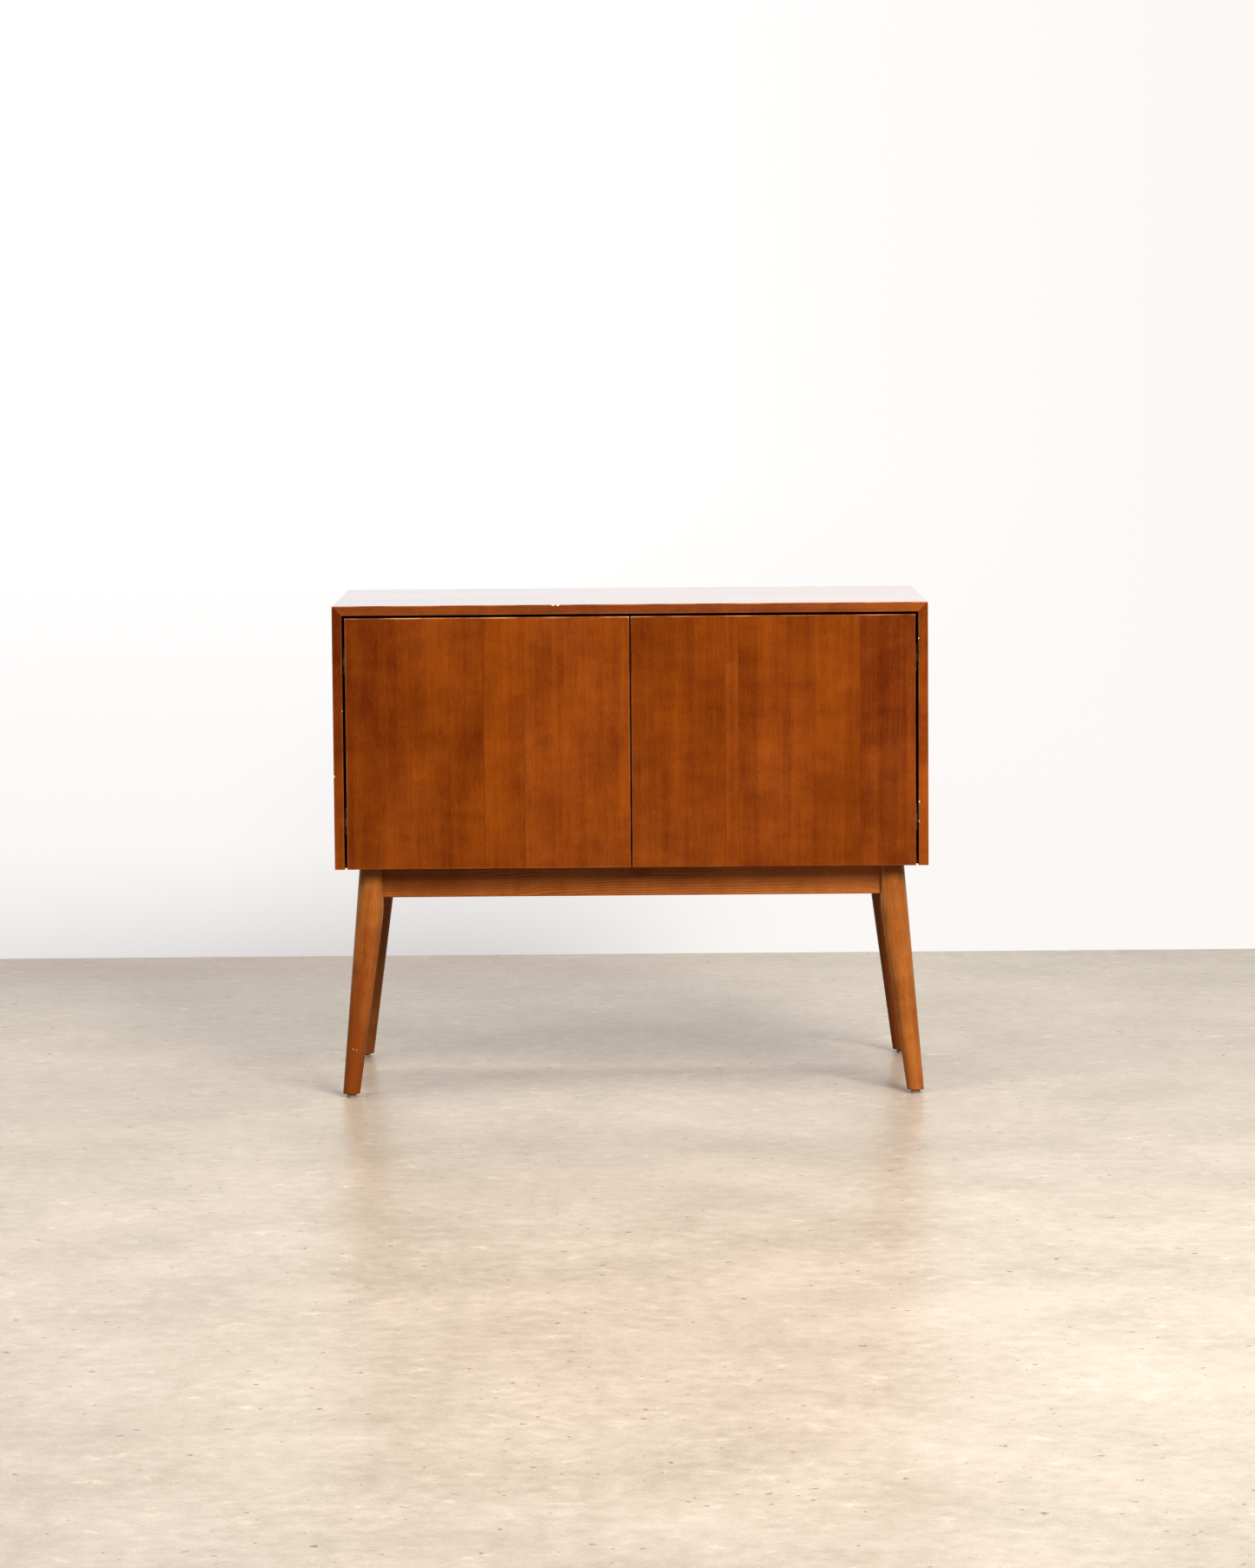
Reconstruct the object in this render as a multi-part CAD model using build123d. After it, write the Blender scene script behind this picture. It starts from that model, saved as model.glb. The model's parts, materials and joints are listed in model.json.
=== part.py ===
from build123d import *
from math import hypot, sqrt
import os

# Two-door sideboard on a splayed four-leg base. Millimetres, +X right, +Z up.
# The doors face -Y. The origin is on the floor, under the middle of the case.

# ---- driving dimensions ----------------------------------------------------------
overall_width = 914.4
overall_depth = 457.2
overall_height = 762.0
case_height = 406.4
panel = 15.0                # thickness of every case board
edge_ease = 0.8             # rounding of the boards' long arrises
corner_ease = 1.2           # rounding of the mitred outer corners
fit = 0.05                  # clearance round a fixed fastener
run_fit = 0.05              # radial clearance of a running pin or stud

door_thickness = 18.0
door_top_gap = 3.9
door_side_gap = 4.1
door_centre_gap = 2.2

back_thickness = 5.0
back_land = 7.5             # width of the rebate that holds the back panel
bottom_setback = 20.0       # front edge of the bottom panel, behind the door fronts
relief_length = 28.0        # notch that lets the door's rear corner swing past
relief_setback = 26.0
cove_radius = 12.0          # finger cove under each door's free end
cove_start = 25.0
cove_length = 110.0

shelf_side_gap = 1.5
shelf_front_setback = 40.0
shelf_rear_gap = 10.0
pin_row_front = -150.0
pin_row_rear = 170.0
pin_hole_pitch = 32.0
pin_hole_rows = 2           # hole rows above and below the row in use
pin_hole_z = 548.0
pin_radius = 2.5
spade_top = 2.5             # shelf rests this far above its pins' axes

rail_height = 48.0
rail_thickness = 18.0
rail_offset = 11.0          # outer face of a rail, outside the leg's axis
rail_ease = 1.5

leg_top_x = 398.7
leg_top_y = 177.0
leg_splay_x = 38.1          # how far the foot stands outside the leg's top
leg_splay_y = 37.5
leg_top_radius = 22.9
leg_foot_radius = 13.1
leg_flat = 12.7             # flats on the inner sides, from the axis at the top

leveler_height = 5.5
leveler_radius = 7.0
stud_radius = 3.0
stud_length = 32.0
insert_radius = 5.0
insert_length = 20.0
leveler_bore_depth = 32.0

hinge_from_edge = 69.0      # hinge centre from the door's top and bottom edges
cup_radius = 17.5
cup_rim = 5.0               # wood between the cup bore and the door's edge
cup_depth = 12.5
cup_wall = 0.8
cup_flange = 1.2
hinge_pin_radius = 1.75
hinge_pin_length = 24.4
pin_inset = 16.0            # hinge pin from the side panel's inner face
pin_setback = 9.6           # hinge pin from the door's front face
arm_width = 16.0
arm_gauge = 3.0
eye_radius = 2.9
arm_reach = 17.4            # centre of the arm's outer leg, from the pin
arm_web = 11.0              # centre of the arm's web, from the side panel
arm_bridge = 27.2           # centre of the arm's bridge, from the door's front face
arm_end = 86.0
plate_axis = 55.0           # mounting plate's screw line, from the door's front face
plate_span = 32.0           # its screw spacing

catch_x = 40.0
screw_head_radius = 3.3
screw_radius = 1.75

# ---- derived places ----------------------------------------------------------------
half_w = overall_width / 2
half_d = overall_depth / 2
base_z = overall_height - case_height
inner_x = half_w - panel
inner_top = overall_height - panel
front_y = -half_d
door_rear_y = front_y + door_thickness
door_top_z = inner_top - door_top_gap
door_edge_x = inner_x - door_side_gap
back_y = half_d - back_thickness
floor_z = base_z + panel
rail_x = leg_top_x + rail_offset
rail_y = leg_top_y + rail_offset
rail_inner_x = rail_x - rail_thickness
rail_inner_y = rail_y - rail_thickness
rail_z = base_z - rail_height
flat_x = leg_top_x - leg_flat
flat_y = leg_top_y - leg_flat
foot_x = leg_top_x + leg_splay_x
foot_y = leg_top_y + leg_splay_y
hinge_z = (base_z + hinge_from_edge, door_top_z - hinge_from_edge)
hinge_pin_x = inner_x - pin_inset
hinge_pin_y = front_y + pin_setback
cup_x = door_edge_x - cup_rim - cup_radius

nodes = {}


# ---- helpers ---------------------------------------------------------------------------
def block(x0, x1, y0, y1, z0, z1):
    """A box between two opposite corners."""
    middle = Pos((x0 + x1) / 2, (y0 + y1) / 2, (z0 + z1) / 2)
    return middle * Box(abs(x1 - x0), abs(y1 - y0), abs(z1 - z0))


def rod(start, direction, radius, length):
    """A cylinder from a start point along a direction."""
    return Plane(origin=start, z_dir=direction) * Pos(0, 0, length / 2) * Cylinder(radius, length)


def flip_x(shape):
    return mirror(shape, about=Plane.YZ)


def flip_y(shape):
    return mirror(shape, about=Plane.XZ)


def four_corners(shape):
    """The shape of the rear right corner, repeated at all four corners."""
    rear = [shape, flip_x(shape)]
    return rear + [flip_y(piece) for piece in rear]


def group(pieces):
    """Separate solids that share one node."""
    solids = [solid for piece in pieces for solid in piece.solids()]
    return Compound(children=solids)


def screw(length, head_radius=screw_head_radius, radius=screw_radius, grow=0.0, drive=True):
    """A countersunk screw with its head flat at z = 0 and its tip down."""
    head = head_radius - radius
    tip = radius * 1.2
    r = radius + grow
    end = length + grow
    points = [(0, 0), (head_radius + grow, 0), (r, -head - grow), (r, tip - end), (0.4, -end), (0, -end)]
    body = revolve(make_face(Plane.XZ * Polyline(*points, close=True)), Axis.Z)
    if drive:
        slot = Box(head_radius * 1.1, 0.7, 2.0)
        body = body - slot - Rot(0, 0, 90) * slot
    return body


def place(shape, start, direction):
    """Stand a screw on a point so that its tip points along a direction."""
    opposite = tuple(-value for value in direction)
    return Plane(origin=start, z_dir=opposite) * shape


def cut_all(shape, tools):
    for tool in tools:
        shape = shape - tool
    return shape


# ---- case boards -------------------------------------------------------------------------
def mitre_half(above):
    """The right-hand space above or below the mitre plane, as a cutting prism."""
    low = (inner_x - 2, inner_top - 2)
    high = (half_w + 2, overall_height + 2)
    third = (inner_x - 2, overall_height + 2) if above else (half_w + 2, inner_top - 2)
    outline = make_face(Polyline(Vector(low[0], 0, low[1]), Vector(high[0], 0, high[1]),
                                 Vector(third[0], 0, third[1]), close=True))
    return extrude(outline, amount=half_d + 5, both=True)


def case_envelope():
    """The whole case block with eased outer corners."""
    outline = Plane.XZ * Pos(0, base_z + case_height / 2) * RectangleRounded(
        overall_width, case_height, corner_ease)
    return extrude(outline, amount=half_d + 5, both=True)


def back_rebate():
    land = half_w - back_land
    return block(-land, land, back_y, half_d + 5, base_z - 5, overall_height - back_land)


spline_width = 11.0
spline_gauge = 3.0
spline_inset = 5.5          # spline centre along the mitre, from the inner corner
spline_length = overall_depth - 60.0


def mitre_spline(grow=0.0):
    """The loose tongue inside the right-hand mitre, square to the joint."""
    centre = Pos(inner_x + spline_inset, 0, inner_top + spline_inset)
    return centre * Rot(0, 45, 0) * Box(spline_width + grow, spline_length + grow, spline_gauge + grow)


case_dowel_length = 30.0
case_dowel_radius = 4.0
case_dowel_in_side = 10.0
case_dowel_y = [-170.0 + 85.0 * step for step in range(5)]


def case_dowel(y, grow=0.0):
    """A dowel that joins the bottom panel's right end to the side panel."""
    start = (inner_x + case_dowel_in_side - case_dowel_length - grow, y, base_z + panel / 2)
    pin = rod(start, (1, 0, 0), case_dowel_radius + grow, case_dowel_length + 2 * grow)
    return pin if grow else chamfer(pin.edges().filter_by(GeomType.CIRCLE), 0.8)


shelf_hole_z = [pin_hole_z + pin_hole_pitch * step for step in range(-pin_hole_rows, pin_hole_rows + 1)]


def shelf_hole(y, z):
    return rod((inner_x - 1, y, z), (1, 0, 0), pin_radius + fit, 10.0)


back_screw_length = 16.0


def back_screw_places():
    """Screw points round the back panel, on its rear face."""
    edge_x = inner_x + back_land / 2
    side_z = [base_z + 40 + step * (case_height - 80) / 3 for step in range(4)]
    points = [(side * edge_x, z) for side in (-1, 1) for z in side_z]
    rows = (base_z + panel / 2, inner_top + back_land / 2)
    span_x = [-360.0 + 240.0 * step for step in range(4)]
    points += [(x, z) for z in rows for x in span_x]
    return points


def back_screws(grow=0.0):
    shape = screw(back_screw_length, 2.8, 1.4, grow, drive=not grow)
    return [place(shape, (x, half_d, z), (0, -1, 0)) for x, z in back_screw_places()]


def top_panel():
    board = extrude(Plane.YZ * Pos(0, overall_height - panel / 2) * RectangleRounded(
        overall_depth, panel, edge_ease), amount=half_w, both=True)
    board = board - mitre_half(above=False) - flip_x(mitre_half(above=False))
    board = board & case_envelope()
    board = board - back_rebate() - mitre_spline(2 * fit) - flip_x(mitre_spline(2 * fit))
    return cut_all(board, back_screws(fit) + catch_screws(fit))


def right_side_panel():
    board = extrude(Pos(inner_x + panel / 2, 0, base_z) * RectangleRounded(
        panel, overall_depth, edge_ease), amount=case_height)
    board = board - mitre_half(above=True)
    board = board & case_envelope()
    board = board - back_rebate() - mitre_spline(2 * fit)
    board = cut_all(board, [case_dowel(y, fit) for y in case_dowel_y])
    rows = (pin_row_front, pin_row_rear)
    board = cut_all(board, [shelf_hole(y, z) for y in rows for z in shelf_hole_z])
    return cut_all(board, back_screws(fit) + plate_screws(fit))


def bottom_panel():
    board = block(-inner_x, inner_x, front_y + bottom_setback, back_y, base_z, floor_z)
    notch = block(inner_x - relief_length, inner_x + 1, front_y, front_y + relief_setback,
                  base_z - 1, floor_z + 1)
    cove = rod((cove_start, front_y + bottom_setback, base_z), (1, 0, 0), cove_radius, cove_length)
    dowels = [case_dowel(y, fit) for y in case_dowel_y]
    cuts = [notch, cove] + dowels
    board = cut_all(board, cuts + [flip_x(tool) for tool in cuts])
    return cut_all(board, back_screws(fit) + base_screws(fit))


def back_panel():
    land = half_w - back_land - 0.3
    board = block(-land, land, back_y, half_d, base_z + 0.5, overall_height - back_land - 0.3)
    return cut_all(board, back_screws(fit))


# ---- shelf -----------------------------------------------------------------------------
def shelf():
    half = inner_x - shelf_side_gap
    z0 = pin_hole_z + spade_top
    board = block(-half, half, front_y + shelf_front_setback, back_y - shelf_rear_gap, z0, z0 + panel)
    front_edges = board.edges().filter_by(Axis.X).group_by(Axis.Y)[0]
    return fillet(front_edges, edge_ease)


def shelf_pin(y):
    """A spade pin at the right side: barrel, collar and flat tongue."""
    barrel = rod((inner_x - 1.0, y, pin_hole_z), (1, 0, 0), pin_radius, 9.0)
    collar = rod((inner_x - 1.0, y, pin_hole_z), (1, 0, 0), 4.0, 1.0)
    tongue = block(inner_x - 14.0, inner_x - 1.0, y - 5.0, y + 5.0, pin_hole_z + 0.7, pin_hole_z + spade_top)
    tongue = fillet(tongue.edges().filter_by(Axis.Z).group_by(Axis.X)[0], 3.0)
    return barrel + collar + tongue


# ---- magnetic catches --------------------------------------------------------------------
catch_depth = 16.0
catch_height = 14.0
catch_half = 24.0           # half width over the screw ears
catch_body_half = 16.5
catch_ear = 3.0
catch_screw_x = 20.0
strike_gauge = 1.1
magnet_gap = 0.2
strike_screw_x = 11.0
catch_y = door_rear_y + strike_gauge + magnet_gap


def catch_housing():
    """The right-hand catch, under the top panel."""
    x0 = catch_x - catch_body_half
    x1 = catch_x + catch_body_half
    body = block(x0, x1, catch_y, catch_y + catch_depth, inner_top - catch_height, inner_top)
    ears = block(catch_x - catch_half, catch_x + catch_half, catch_y + 3, catch_y + catch_depth - 2,
                 inner_top - catch_ear, inner_top)
    ears = fillet(ears.edges().filter_by(Axis.Z), 3.0)
    pocket = catch_magnet(fit)
    return cut_all(body + ears - pocket, catch_screws(fit))


def catch_magnet(grow=0.0):
    """The magnet block that looks out of the right-hand catch."""
    x0 = catch_x - 13.0 - grow
    x1 = catch_x + 13.0 + grow
    mid = inner_top - catch_height / 2
    return block(x0, x1, catch_y - 0.1, catch_y + 10 + grow, mid - 3 - grow, mid + 3 + grow)


def catch_screws(grow=0.0):
    """Two screws for each catch, driven up into the top panel."""
    shape = screw(13.0, 2.8, 1.5, grow, drive=not grow)
    screws = []
    for centre in (-catch_x, catch_x):
        for side in (-catch_screw_x, catch_screw_x):
            start = (centre + side, catch_y + catch_depth / 2, inner_top - catch_ear)
            screws.append(place(shape, start, (0, 0, 1)))
    return screws


def strike_plate():
    """The right-hand door's steel plate, on the door's rear face."""
    z0 = door_top_z - 14.5
    plate = block(catch_x - 18, catch_x + 18, door_rear_y, door_rear_y + strike_gauge, z0, z0 + 13)
    plate = fillet(plate.edges().filter_by(Axis.Y), 2.0)
    return cut_all(plate, strike_screws(fit))


def strike_screws(grow=0.0):
    shape = screw(14.0, grow=grow, drive=not grow)
    z = door_top_z - 8
    return [place(shape, (catch_x + side, door_rear_y + strike_gauge, z), (0, -1, 0))
            for side in (-strike_screw_x, strike_screw_x)]


def door_bumper(x):
    """A thin stop on the bottom panel's front edge, just clear of the closed door."""
    gap = 0.1
    thickness = bottom_setback - door_thickness - gap
    pad = rod((x, front_y + bottom_setback, base_z + panel / 2), (0, -1, 0), 4.0, thickness)
    return fillet(pad.edges().filter_by(GeomType.CIRCLE).group_by(Axis.Y)[0], 0.6)


# ---- base: rails, blocks and legs ----------------------------------------------------------
base_screw_length = 38.0
base_screw_seat = rail_z + 22.0


def base_screw_places():
    mid_x = rail_x - rail_thickness / 2
    mid_y = rail_y - rail_thickness / 2
    points = [(x, side * mid_y) for side in (-1, 1) for x in (-290.0, 0.0, 290.0)]
    points += [(side * mid_x, y) for side in (-1, 1) for y in (-85.0, 85.0)]
    return points


def base_screws(grow=0.0):
    """Screws up through the rails into the bottom panel."""
    shape = screw(base_screw_length, 4.0, 2.1, grow, drive=not grow)
    return [place(shape, (x, y, base_screw_seat), (0, 0, 1)) for x, y in base_screw_places()]


def base_screw_bores():
    return [rod((x, y, rail_z - 1), (0, 0, 1), 4.5, base_screw_seat - rail_z + 1) for x, y in base_screw_places()]


def rail(x0, x1, y0, y1, length_axis):
    """An apron rail with eased lower edges."""
    bar = block(x0, x1, y0, y1, rail_z, base_z)
    low_edges = bar.edges().filter_by(length_axis).group_by(Axis.Z)[0]
    bar = fillet(low_edges, rail_ease)
    bar = cut_all(bar, base_screw_bores() + base_screws(fit))
    return cut_all(bar, all_block_screws(fit))


block_near = 12.0           # corner block's outer and inner faces, along the diagonal
block_far = 32.0
block_z0 = rail_z + 4.0
block_z1 = base_z - 4.0
bolt_z = (block_z0 + block_z1) / 2
bolt_radius = 3.0
bolt_inner = 41.0           # bolt's free end, inside the base
bolt_outer = -20.0          # bolt's end inside the leg
block_screw_inset = 26.0
block_screw_seat = 13.0
inward = (-1 / sqrt(2), -1 / sqrt(2), 0)


def on_diagonal(distance, z):
    """A point on the rear right corner's diagonal, inside the rails' inner corner."""
    return (rail_inner_x + distance * inward[0], rail_inner_y + distance * inward[1], z)


def corner_block():
    near = block_near * sqrt(2)
    far = block_far * sqrt(2)
    outline = Polyline((rail_inner_x - near, rail_inner_y), (rail_inner_x - far, rail_inner_y),
                       (rail_inner_x, rail_inner_y - far), (rail_inner_x, rail_inner_y - near), close=True)
    body = extrude(Pos(0, 0, block_z0) * make_face(outline), amount=block_z1 - block_z0)
    body = body - leg_bolt(0.3)
    for direction, points in block_screw_places():
        back = tuple(-value for value in direction)
        body = cut_all(body, [rod(point, back, 4.2, 30.0) for point in points])
    return cut_all(body, block_screws(fit))


def block_screw_places():
    """Head centres of the screws that hold the rear right block to its two rails."""
    heights = (block_z0 + 9.0, block_z1 - 9.0)
    to_rear = [(rail_inner_x - block_screw_inset, rail_inner_y - block_screw_seat, z) for z in heights]
    to_side = [(rail_inner_x - block_screw_seat, rail_inner_y - block_screw_inset, z) for z in heights]
    return [((0, 1, 0), to_rear), ((1, 0, 0), to_side)]


def block_screws(grow=0.0):
    shape = screw(25.0, 3.6, 2.0, grow, drive=not grow)
    return [place(shape, point, direction) for direction, points in block_screw_places() for point in points]


def all_block_screws(grow=0.0):
    return [copy for shape in block_screws(grow) for copy in four_corners(shape)]


def leg_bolt(grow=0.0):
    """The hanger bolt along the corner's diagonal, from the block into the leg."""
    return rod(on_diagonal(bolt_inner, bolt_z), (1, 1, 0), bolt_radius + grow, bolt_inner - bolt_outer)


def leg_bolt_nut():
    """Washer and hexagon nut on the block's inner face."""
    outward = Plane(origin=on_diagonal(block_far, bolt_z), z_dir=inward)
    hole = outward * Pos(0, 0, 4) * Cylinder(bolt_radius + fit, 12)
    washer = outward * Pos(0, 0, 0.6) * Cylinder(6.0, 1.2)
    nut = extrude(outward * Pos(0, 0, 1.25) * RegularPolygon(5.6, 6), amount=5.0)
    return [washer - hole, nut - hole]


def leg():
    """The rear right leg: a leaning cone with flats where the rails meet it."""
    rise = base_z - leveler_height
    lean = Vector(-leg_splay_x, -leg_splay_y, rise)
    spare = 20.0
    unit = lean.normalized()
    start = Vector(foot_x, foot_y, leveler_height) - unit * spare
    taper = (leg_top_radius - leg_foot_radius) / lean.length
    length = lean.length + 2 * spare
    cone = Cone(leg_foot_radius - taper * spare, leg_top_radius + taper * spare, length,
                align=(Align.CENTER, Align.CENTER, Align.MIN))
    body = Plane(origin=start, z_dir=unit) * cone
    body = body & block(flat_x, half_w, flat_y, half_d + 20, leveler_height, base_z)
    body = fillet(body.edges().group_by(Axis.Z)[0], 1.0)
    body = body - leg_bolt(fit)
    bore = rod((foot_x, foot_y, leveler_height - 1), (0, 0, 1), insert_radius + fit, insert_length + 1)
    tunnel = rod((foot_x, foot_y, leveler_height), (0, 0, 1), stud_radius + 0.4, leveler_bore_depth)
    return body - bore - tunnel


# ---- levelers ----------------------------------------------------------------------------
def leveler_insert():
    bush = rod((foot_x, foot_y, leveler_height), (0, 0, 1), insert_radius, insert_length)
    return bush - rod((foot_x, foot_y, 0), (0, 0, 1), stud_radius + run_fit, leveler_height + insert_length + 1)


def leveler_stud():
    stud = rod((foot_x, foot_y, 1.5), (0, 0, 1), stud_radius, stud_length)
    return chamfer(stud.edges().filter_by(GeomType.CIRCLE).group_by(Axis.Z)[-1], 0.8)


def leveler_pad():
    top = leveler_height - 0.1
    points = [(0, 0), (leveler_radius - 0.9, 0), (leveler_radius, 0.9), (leveler_radius, 3.4),
              (leveler_radius - 1.2, 4.4), (leveler_radius - 1.8, top), (0, top)]
    pad = revolve(make_face(Plane.XZ * Polyline(*points, close=True)), Axis.Z)
    socket = rod((0, 0, 1.5 - fit), (0, 0, 1), stud_radius + fit, leveler_height)
    return Pos(foot_x, foot_y, 0) * (pad - socket)


# ---- doors ---------------------------------------------------------------------------------
def right_door():
    slab = block(door_centre_gap / 2, door_edge_x, front_y, door_rear_y, base_z, door_top_z)
    slab = fillet(slab.edges(), edge_ease)
    for z in hinge_z:
        bore = rod((cup_x, door_rear_y + 1, z), (0, -1, 0), cup_radius, cup_depth + 1.2)
        slab = cut_all(slab, [bore] + cup_screws(z, fit))
    return cut_all(slab, strike_screws(fit))


# ---- concealed hinge, right side -------------------------------------------------------------
cup_screw_span = 48.0
cup_screw_offset = 6.0
flange_half = 30.0
flange_width = 17.0
boss_half = 4.2             # pin bosses inside the cup, half size across
boss_start = arm_width / 2 + 0.4


def cup_screws(z, grow=0.0):
    shape = screw(14.0, grow=grow, drive=not grow)
    x = cup_x - cup_screw_offset
    y = door_rear_y + cup_flange
    return [place(shape, (x, y, z + side * cup_screw_span / 2), (0, -1, 0)) for side in (-1, 1)]


def hinge_cup(z):
    """The cup in the door, its flange and the two bosses that carry the pin."""
    bottom_y = door_rear_y - cup_depth
    outer = rod((cup_x, bottom_y, z), (0, 1, 0), cup_radius - fit, cup_depth + cup_flange)
    outer = fillet(outer.edges().filter_by(GeomType.CIRCLE).group_by(Axis.Y)[0], 1.5)
    inner_radius = cup_radius - fit - cup_wall
    inner = rod((cup_x, bottom_y + cup_wall, z), (0, 1, 0), inner_radius, cup_depth + cup_flange)
    ring = rod((cup_x, door_rear_y, z), (0, 1, 0), cup_radius + 1.6, cup_flange)
    wing_x = cup_x - cup_screw_offset
    wing = block(wing_x - flange_width / 2, wing_x + flange_width / 2, door_rear_y, door_rear_y + cup_flange,
                 z - flange_half, z + flange_half)
    wing = fillet(wing.edges().filter_by(Axis.Y), 6.0)
    bosses = block(hinge_pin_x - boss_half, hinge_pin_x + boss_half, bottom_y, hinge_pin_y + boss_half,
                   z - cup_radius, z + cup_radius)
    bosses = bosses - block(hinge_pin_x - 9, hinge_pin_x + 9, bottom_y, door_rear_y,
                            z - boss_start, z + boss_start)
    inside = rod((cup_x, bottom_y + 0.2, z), (0, 1, 0), cup_radius - fit - 0.2, cup_depth)
    body = (outer + ring + wing) - inner + (bosses & inside)
    pin_hole = rod((hinge_pin_x, hinge_pin_y, z - hinge_pin_length / 2 - fit), (0, 0, 1),
                   hinge_pin_radius + fit / 2, hinge_pin_length + 2 * fit)
    return cut_all(body - pin_hole, cup_screws(z, fit))


def hinge_pin(z):
    pin = rod((hinge_pin_x, hinge_pin_y, z - hinge_pin_length / 2), (0, 0, 1), hinge_pin_radius, hinge_pin_length)
    return chamfer(pin.edges().filter_by(GeomType.CIRCLE), 0.4)


arm_screw_v = (44.0, 72.0)  # adjusting and fixing screws, from the door's front face
arm_flange = 1.5
arm_skirt = 6.5


def hinge_arm(z):
    """The gooseneck arm: eye, neck, bridge and the channel over the mounting plate."""
    reach_x = hinge_pin_x - arm_reach
    web_x = inner_x - arm_web
    bridge_y = front_y + arm_bridge
    end_y = front_y + arm_end
    path = FilletPolyline((hinge_pin_x, hinge_pin_y), (reach_x, hinge_pin_y), (reach_x, bridge_y),
                          (web_x, bridge_y), (web_x, end_y), radius=2.6)
    ribbon = make_face(offset(path, arm_gauge / 2, side=Side.BOTH).edges())
    neck = extrude(Pos(0, 0, z) * ribbon, amount=arm_width / 2, both=True)
    eye = rod((hinge_pin_x, hinge_pin_y, z - arm_width / 2), (0, 0, 1), eye_radius, arm_width)
    skirt_y = bridge_y + 5
    skirt = block(web_x, web_x + arm_skirt, skirt_y, end_y, z - arm_width / 2 - arm_flange, z - arm_width / 2)
    skirt = fillet(skirt.edges().filter_by(Axis.Z).group_by(Axis.X)[-1], 3.0)
    lip = block(web_x - arm_gauge / 2, web_x, skirt_y, end_y, z - arm_width / 2 - arm_flange, z - arm_width / 2)
    other = Pos(0, 0, arm_width + arm_flange)
    body = neck + eye + skirt + lip + other * skirt + other * lip
    bore = rod((hinge_pin_x, hinge_pin_y, z - arm_width), (0, 0, 1), hinge_pin_radius + run_fit, 2 * arm_width)
    adjuster = rod((inner_x, front_y + arm_screw_v[0], z), (-1, 0, 0), 2.5 + fit, 20)
    slot = block(web_x - 5, web_x + 5, front_y + arm_screw_v[1] - 4, end_y + 1, z - 2.1, z + 2.1)
    slot = slot + rod((inner_x, front_y + arm_screw_v[1] - 4, z), (-1, 0, 0), 2.1, 20)
    return body - bore - adjuster - slot


def mounting_plate(z):
    """The cross-shaped plate on the side panel: screw wings and a raised saddle."""
    y = front_y + plate_axis
    wing = block(inner_x - 2.0, inner_x, y - 6.5, y + 6.5, z - 23, z + 23)
    wing = fillet(wing.edges().filter_by(Axis.X), 5.0)
    saddle_x = inner_x - arm_web + arm_gauge / 2 + 0.1
    saddle = block(saddle_x, inner_x, front_y + 36, front_y + 84, z - 7.4, z + 7.4)
    saddle = fillet(saddle.edges().filter_by(Axis.X), 2.0)
    body = wing + saddle
    fixing = rod((saddle_x - 1, front_y + arm_screw_v[1], z), (1, 0, 0), 2.0 + fit, 8)
    dimple = rod((saddle_x - 1, front_y + arm_screw_v[0], z), (1, 0, 0), 2.7, 2.4)
    return cut_all(body - fixing - dimple, plate_screws(fit))


def plate_screws(grow=0.0):
    """Raised-head screws through the wings of both right-hand plates."""
    screws = []
    for z in hinge_z:
        for side in (-1, 1):
            start = (inner_x - 2.2, front_y + plate_axis, z + side * plate_span / 2)
            screws.append(place(screw(13.0, 3.6, 2.0, grow, drive=not grow), start, (1, 0, 0)))
    return screws


def arm_screws(z):
    """The adjusting grub screw and the fixing screw of a right-hand hinge."""
    web_face = inner_x - arm_web - arm_gauge / 2
    grub = rod((web_face - 0.8, front_y + arm_screw_v[0], z), (1, 0, 0), 2.5, 5.0)
    fixing_y = front_y + arm_screw_v[1]
    head = rod((web_face - 2.4, fixing_y, z), (1, 0, 0), 4.4, 2.35)
    head = fillet(head.edges().filter_by(GeomType.CIRCLE).group_by(Axis.X)[0], 0.8)
    shank = rod((web_face - 0.1, fixing_y, z), (1, 0, 0), 2.0, 9.0)
    cross = Box(2.0, 4.6, 0.9) + Box(2.0, 0.9, 4.6)
    small_cross = Box(1.6, 3.0, 0.7) + Box(1.6, 0.7, 3.0)
    fixing = head + shank - Pos(web_face - 2.4, fixing_y, z) * cross
    grub = grub - Pos(web_face - 0.8, front_y + arm_screw_v[0], z) * small_cross
    return [grub, fixing]


# ---- checks that the numbers agree -----------------------------------------------------------
def check_swing():
    """The door's two edge corners must clear the side panel and the hinge arm."""
    across = hinge_pin_x - door_edge_x
    front_sweep = hypot(across, pin_setback)
    rear_sweep = hypot(across, door_thickness - pin_setback)
    side_room = pin_inset - front_sweep
    arm_room = min(arm_reach, arm_bridge - pin_setback) - arm_gauge / 2 - rear_sweep
    relief_room = relief_setback - pin_setback - rear_sweep
    print("swing clearances", round(side_room, 2), round(arm_room, 2), round(relief_room, 2))
    assert side_room > 0.5
    assert arm_room > 1.0
    assert relief_room > 1.0


# ---- assembly -----------------------------------------------------------------------------------
def add_case():
    side = right_side_panel()
    nodes["top_panel"] = top_panel()
    nodes["right_side_panel"] = side
    nodes["left_side_panel"] = flip_x(side)
    nodes["bottom_panel"] = bottom_panel()
    nodes["back_panel"] = back_panel()
    nodes["back_panel_screws"] = group(back_screws())
    nodes["mitre_splines"] = group([mitre_spline(), flip_x(mitre_spline())])
    dowels = [case_dowel(y) for y in case_dowel_y]
    nodes["case_dowels"] = group(dowels + [flip_x(dowel) for dowel in dowels])


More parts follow.
